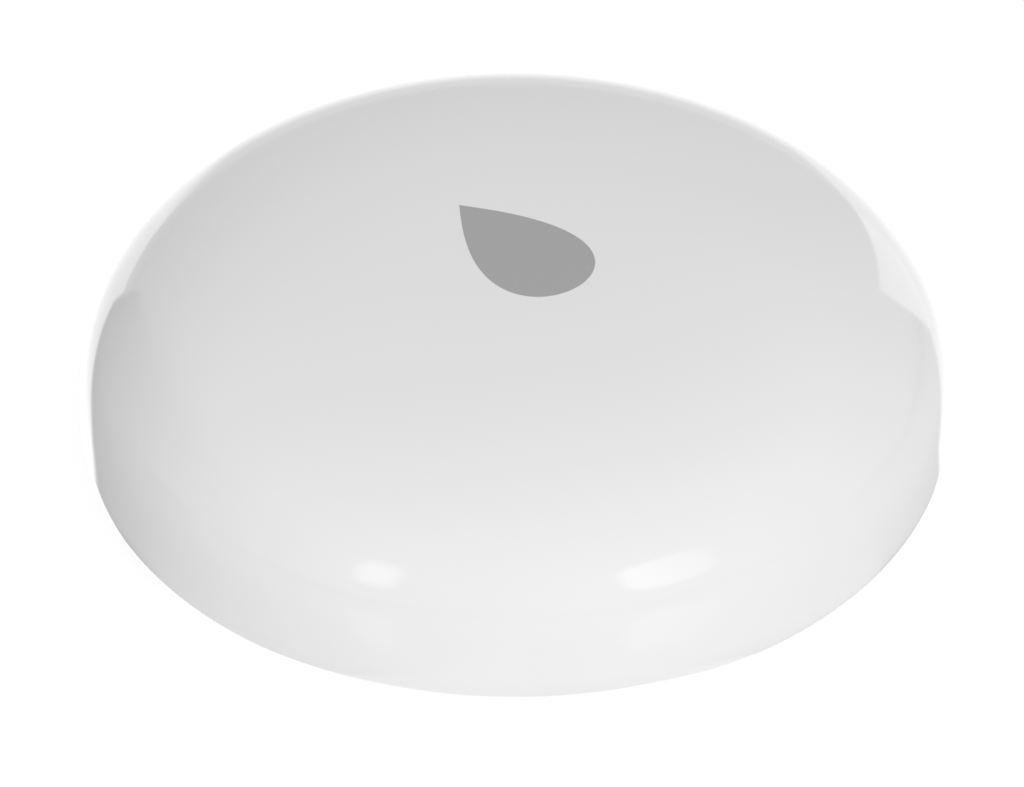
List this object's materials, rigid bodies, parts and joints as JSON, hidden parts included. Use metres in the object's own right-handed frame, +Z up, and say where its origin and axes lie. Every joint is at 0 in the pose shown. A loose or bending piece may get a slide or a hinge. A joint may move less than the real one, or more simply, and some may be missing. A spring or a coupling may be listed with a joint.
{
  "type": "water leak sensor",
  "caption": "Round white pebble-shaped water leak sensor with a one-piece domed shell, probe contacts under the base and a coin-slot battery cover.",
  "frame": {"origin": "on the floor, at the middle of the sensor's footprint, at the underside of its moulded feet", "axes": "+Z up through the crown of the dome; +X from one probe to the other; +Y away from the camera"},
  "size_m": [0.05, 0.05, 0.015],
  "materials": {
    "shell_white": "polished white moulded plastic",
    "base_white": "fine-textured white moulded plastic",
    "seal_rubber": "matt silicone rubber",
    "cell_steel": "satin nickel-plated steel",
    "contact_steel": "bright tin-plated spring strip",
    "board_mask": "green solder mask over glass-fibre board",
    "screw_steel": "zinc-plated steel",
    "probe_steel": "polished stainless steel",
    "post_brass": "turned brass",
    "switch_black": "black heat-proof plastic",
    "plunger_white": "natural nylon",
    "piston_milky": "milky translucent plastic",
    "led_lens": "clear resin over the light",
    "chip_black": "black moulding compound",
    "crystal_tin": "plain metal can",
    "antenna_ceramic": "pale fired ceramic",
    "capacitor_tan": "tan fired ceramic",
    "bulk_orange": "moulded tantalum body"
  },
  "bodies": {
    "housing": {"dome_shell": "shell_white", "base_shell": "base_white", "shell_gasket": "seal_rubber", "battery": "cell_steel", "positive_clips": "contact_steel", "negative_spring": "contact_steel", "circuit_board": "board_mask", "board_screws": "screw_steel", "probe_left": "probe_steel", "probe_right": "probe_steel", "probe_seals": "seal_rubber", "probe_posts": "post_brass", "tact_switch": "switch_black", "switch_frame": "contact_steel", "switch_terminals": "contact_steel", "status_led": "led_lens", "radio_chip": "chip_black", "memory_chip": "chip_black", "crystal_can": "crystal_tin", "bulk_capacitor": "bulk_orange", "chip_antenna": "antenna_ceramic", "chip_resistors": "chip_black", "chip_capacitors": "capacitor_tan"},
    "battery_cover": {"battery_cover": "base_white", "cover_seal": "seal_rubber"},
    "button": {"switch_plunger": "plunger_white", "button_piston": "piston_milky"}
  },
  "joints": [
    {"name": "battery_cover_turn", "type": "hinge", "parent": "housing", "child": "battery_cover", "pos_m": [0, 0, 0.0005], "axis": [0, 0, -1], "range_deg": [0, 30]},
    {"name": "button_press", "type": "slide", "parent": "housing", "child": "button", "axis": [0, 0, -1], "range_m": [0, 0.00025], "stiffness_N_per_m": 4000}
  ]
}
